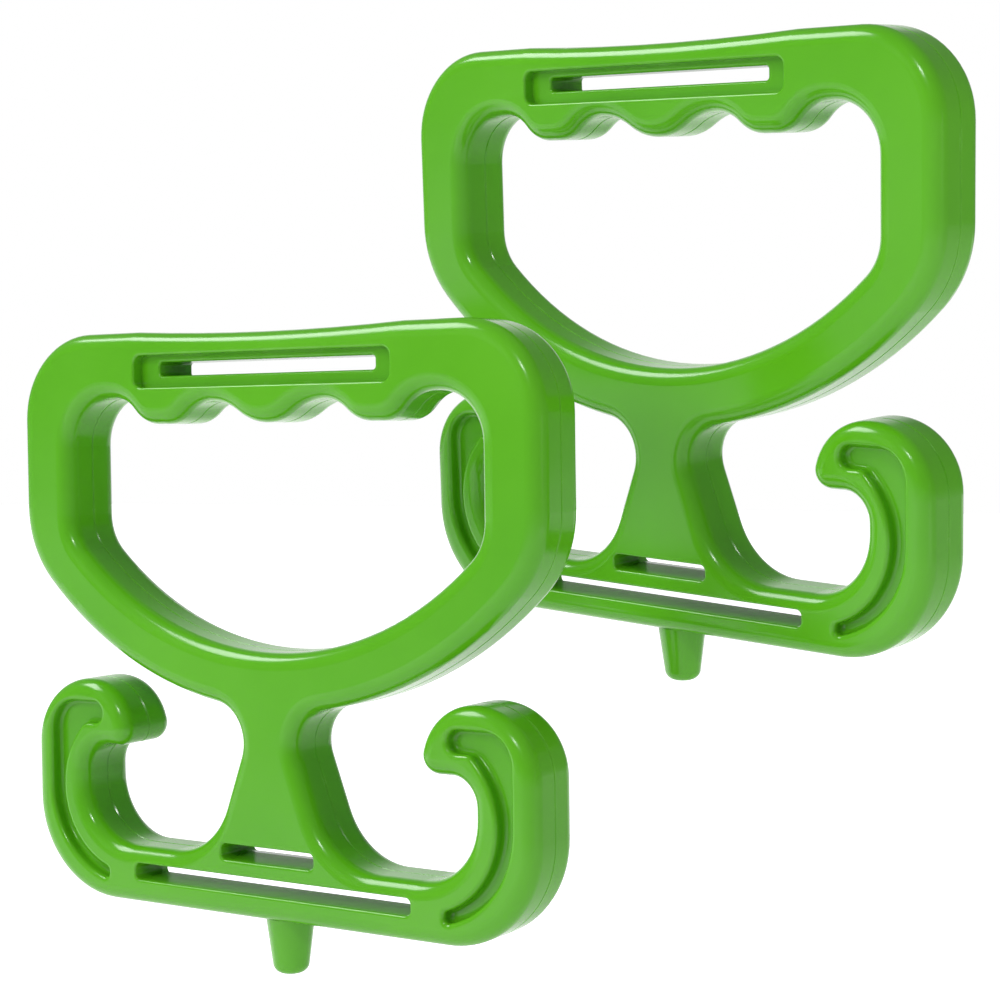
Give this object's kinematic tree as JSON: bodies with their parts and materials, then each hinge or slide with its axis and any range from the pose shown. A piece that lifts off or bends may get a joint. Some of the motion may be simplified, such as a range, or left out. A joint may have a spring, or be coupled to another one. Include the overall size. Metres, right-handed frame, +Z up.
{
  "type": "carry handle",
  "caption": "Glossy moulded carry handle with a ridged hand loop, strap slots, upturned bag hooks and a small peg, kept with its twin.",
  "frame": {"origin": "middle of the front handle's grip bar, on its seam plane", "axes": "+X across the front handle, +Y from its face to its back, +Z up from the hooks to the grip"},
  "size_m": [0.1756, 0.0694, 0.1694],
  "materials": {
    "green_plastic": "gloss"
  },
  "bodies": {
    "front_handle": {"front_handle_face_shell": "green_plastic", "front_handle_back_shell": "green_plastic", "front_handle_peg": "green_plastic"},
    "rear_handle": {"rear_handle_face_shell": "green_plastic", "rear_handle_back_shell": "green_plastic", "rear_handle_peg": "green_plastic"}
  },
  "joints": [
    {"name": "rear_handle_take_away", "type": "slide", "parent": "front_handle", "child": "rear_handle", "axis": [1, 0, 0], "range_m": [0, 0.08]}
  ]
}
